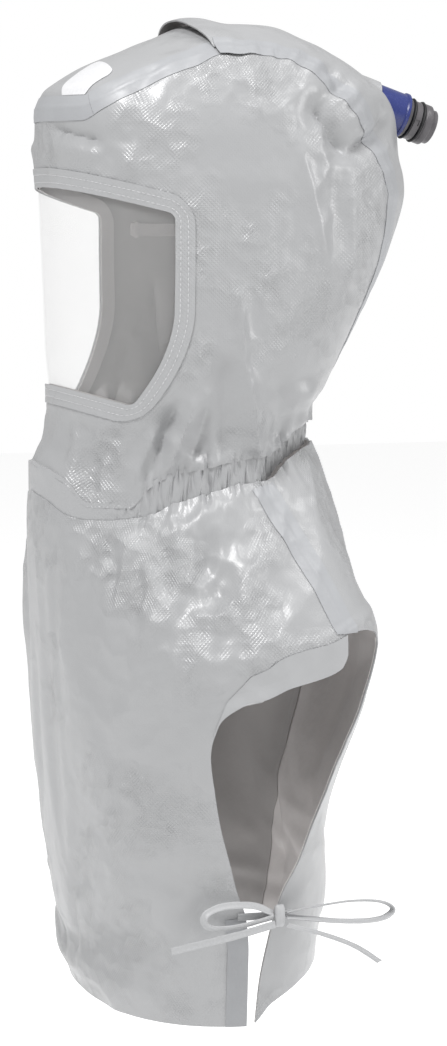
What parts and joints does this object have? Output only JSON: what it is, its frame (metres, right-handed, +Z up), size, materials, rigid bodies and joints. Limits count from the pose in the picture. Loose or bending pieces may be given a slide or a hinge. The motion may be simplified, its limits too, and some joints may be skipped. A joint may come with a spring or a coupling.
{
  "type": "respirator hood",
  "caption": "Air-fed respirator hood of coated cloth with a clear visor, gathered neck, tied cape and a rear air inlet.",
  "frame": {"origin": "inside of the crown, where the wearer's head bears, on the hood's upright axis", "axes": "+Z up, -Y the way the wearer faces, +X the wearer's left"},
  "size_m": [0.376, 0.3626, 0.8191],
  "materials": {
    "cloth": "light grey coated non-woven cloth with a fine diamond emboss and a soft sheen",
    "tape": "smooth light grey sealing tape",
    "patch": "plain white",
    "visor": "clear flexible sheet",
    "duct": "blue",
    "connector": "dark warm grey",
    "seal": "black"
  },
  "bodies": {
    "root": {"hood_body": "cloth", "crown_front_panel": "cloth", "crown_rear_panel": "cloth", "brow_tape": "tape", "brow_patch": "patch", "visor": "visor", "visor_binding": "cloth", "neck_band": "cloth", "front_bib": "cloth", "back_bib": "cloth", "inlet_duct": "duct", "inlet_connector": "connector", "seal_ring_1": "seal", "seal_ring_2": "seal", "crown_front_tape_left": "tape", "crown_rear_tape_left": "tape", "inner_strap_left": "tape", "shoulder_tape_left": "tape", "front_side_hem_left": "tape", "back_side_hem_left": "tape", "tie_knot_left": "cloth", "tie_tab_front_left": "cloth", "tie_tab_back_left": "cloth", "tie_loop_front_left": "cloth", "tie_loop_back_left": "cloth", "tie_end_front_left": "cloth", "tie_end_back_left": "cloth", "crown_front_tape_right": "tape", "crown_rear_tape_right": "tape", "inner_strap_right": "tape", "shoulder_tape_right": "tape", "front_side_hem_right": "tape", "back_side_hem_right": "tape", "tie_knot_right": "cloth", "tie_tab_front_right": "cloth", "tie_tab_back_right": "cloth", "tie_loop_front_right": "cloth", "tie_loop_back_right": "cloth", "tie_end_front_right": "cloth", "tie_end_back_right": "cloth"}
  },
  "joints": []
}
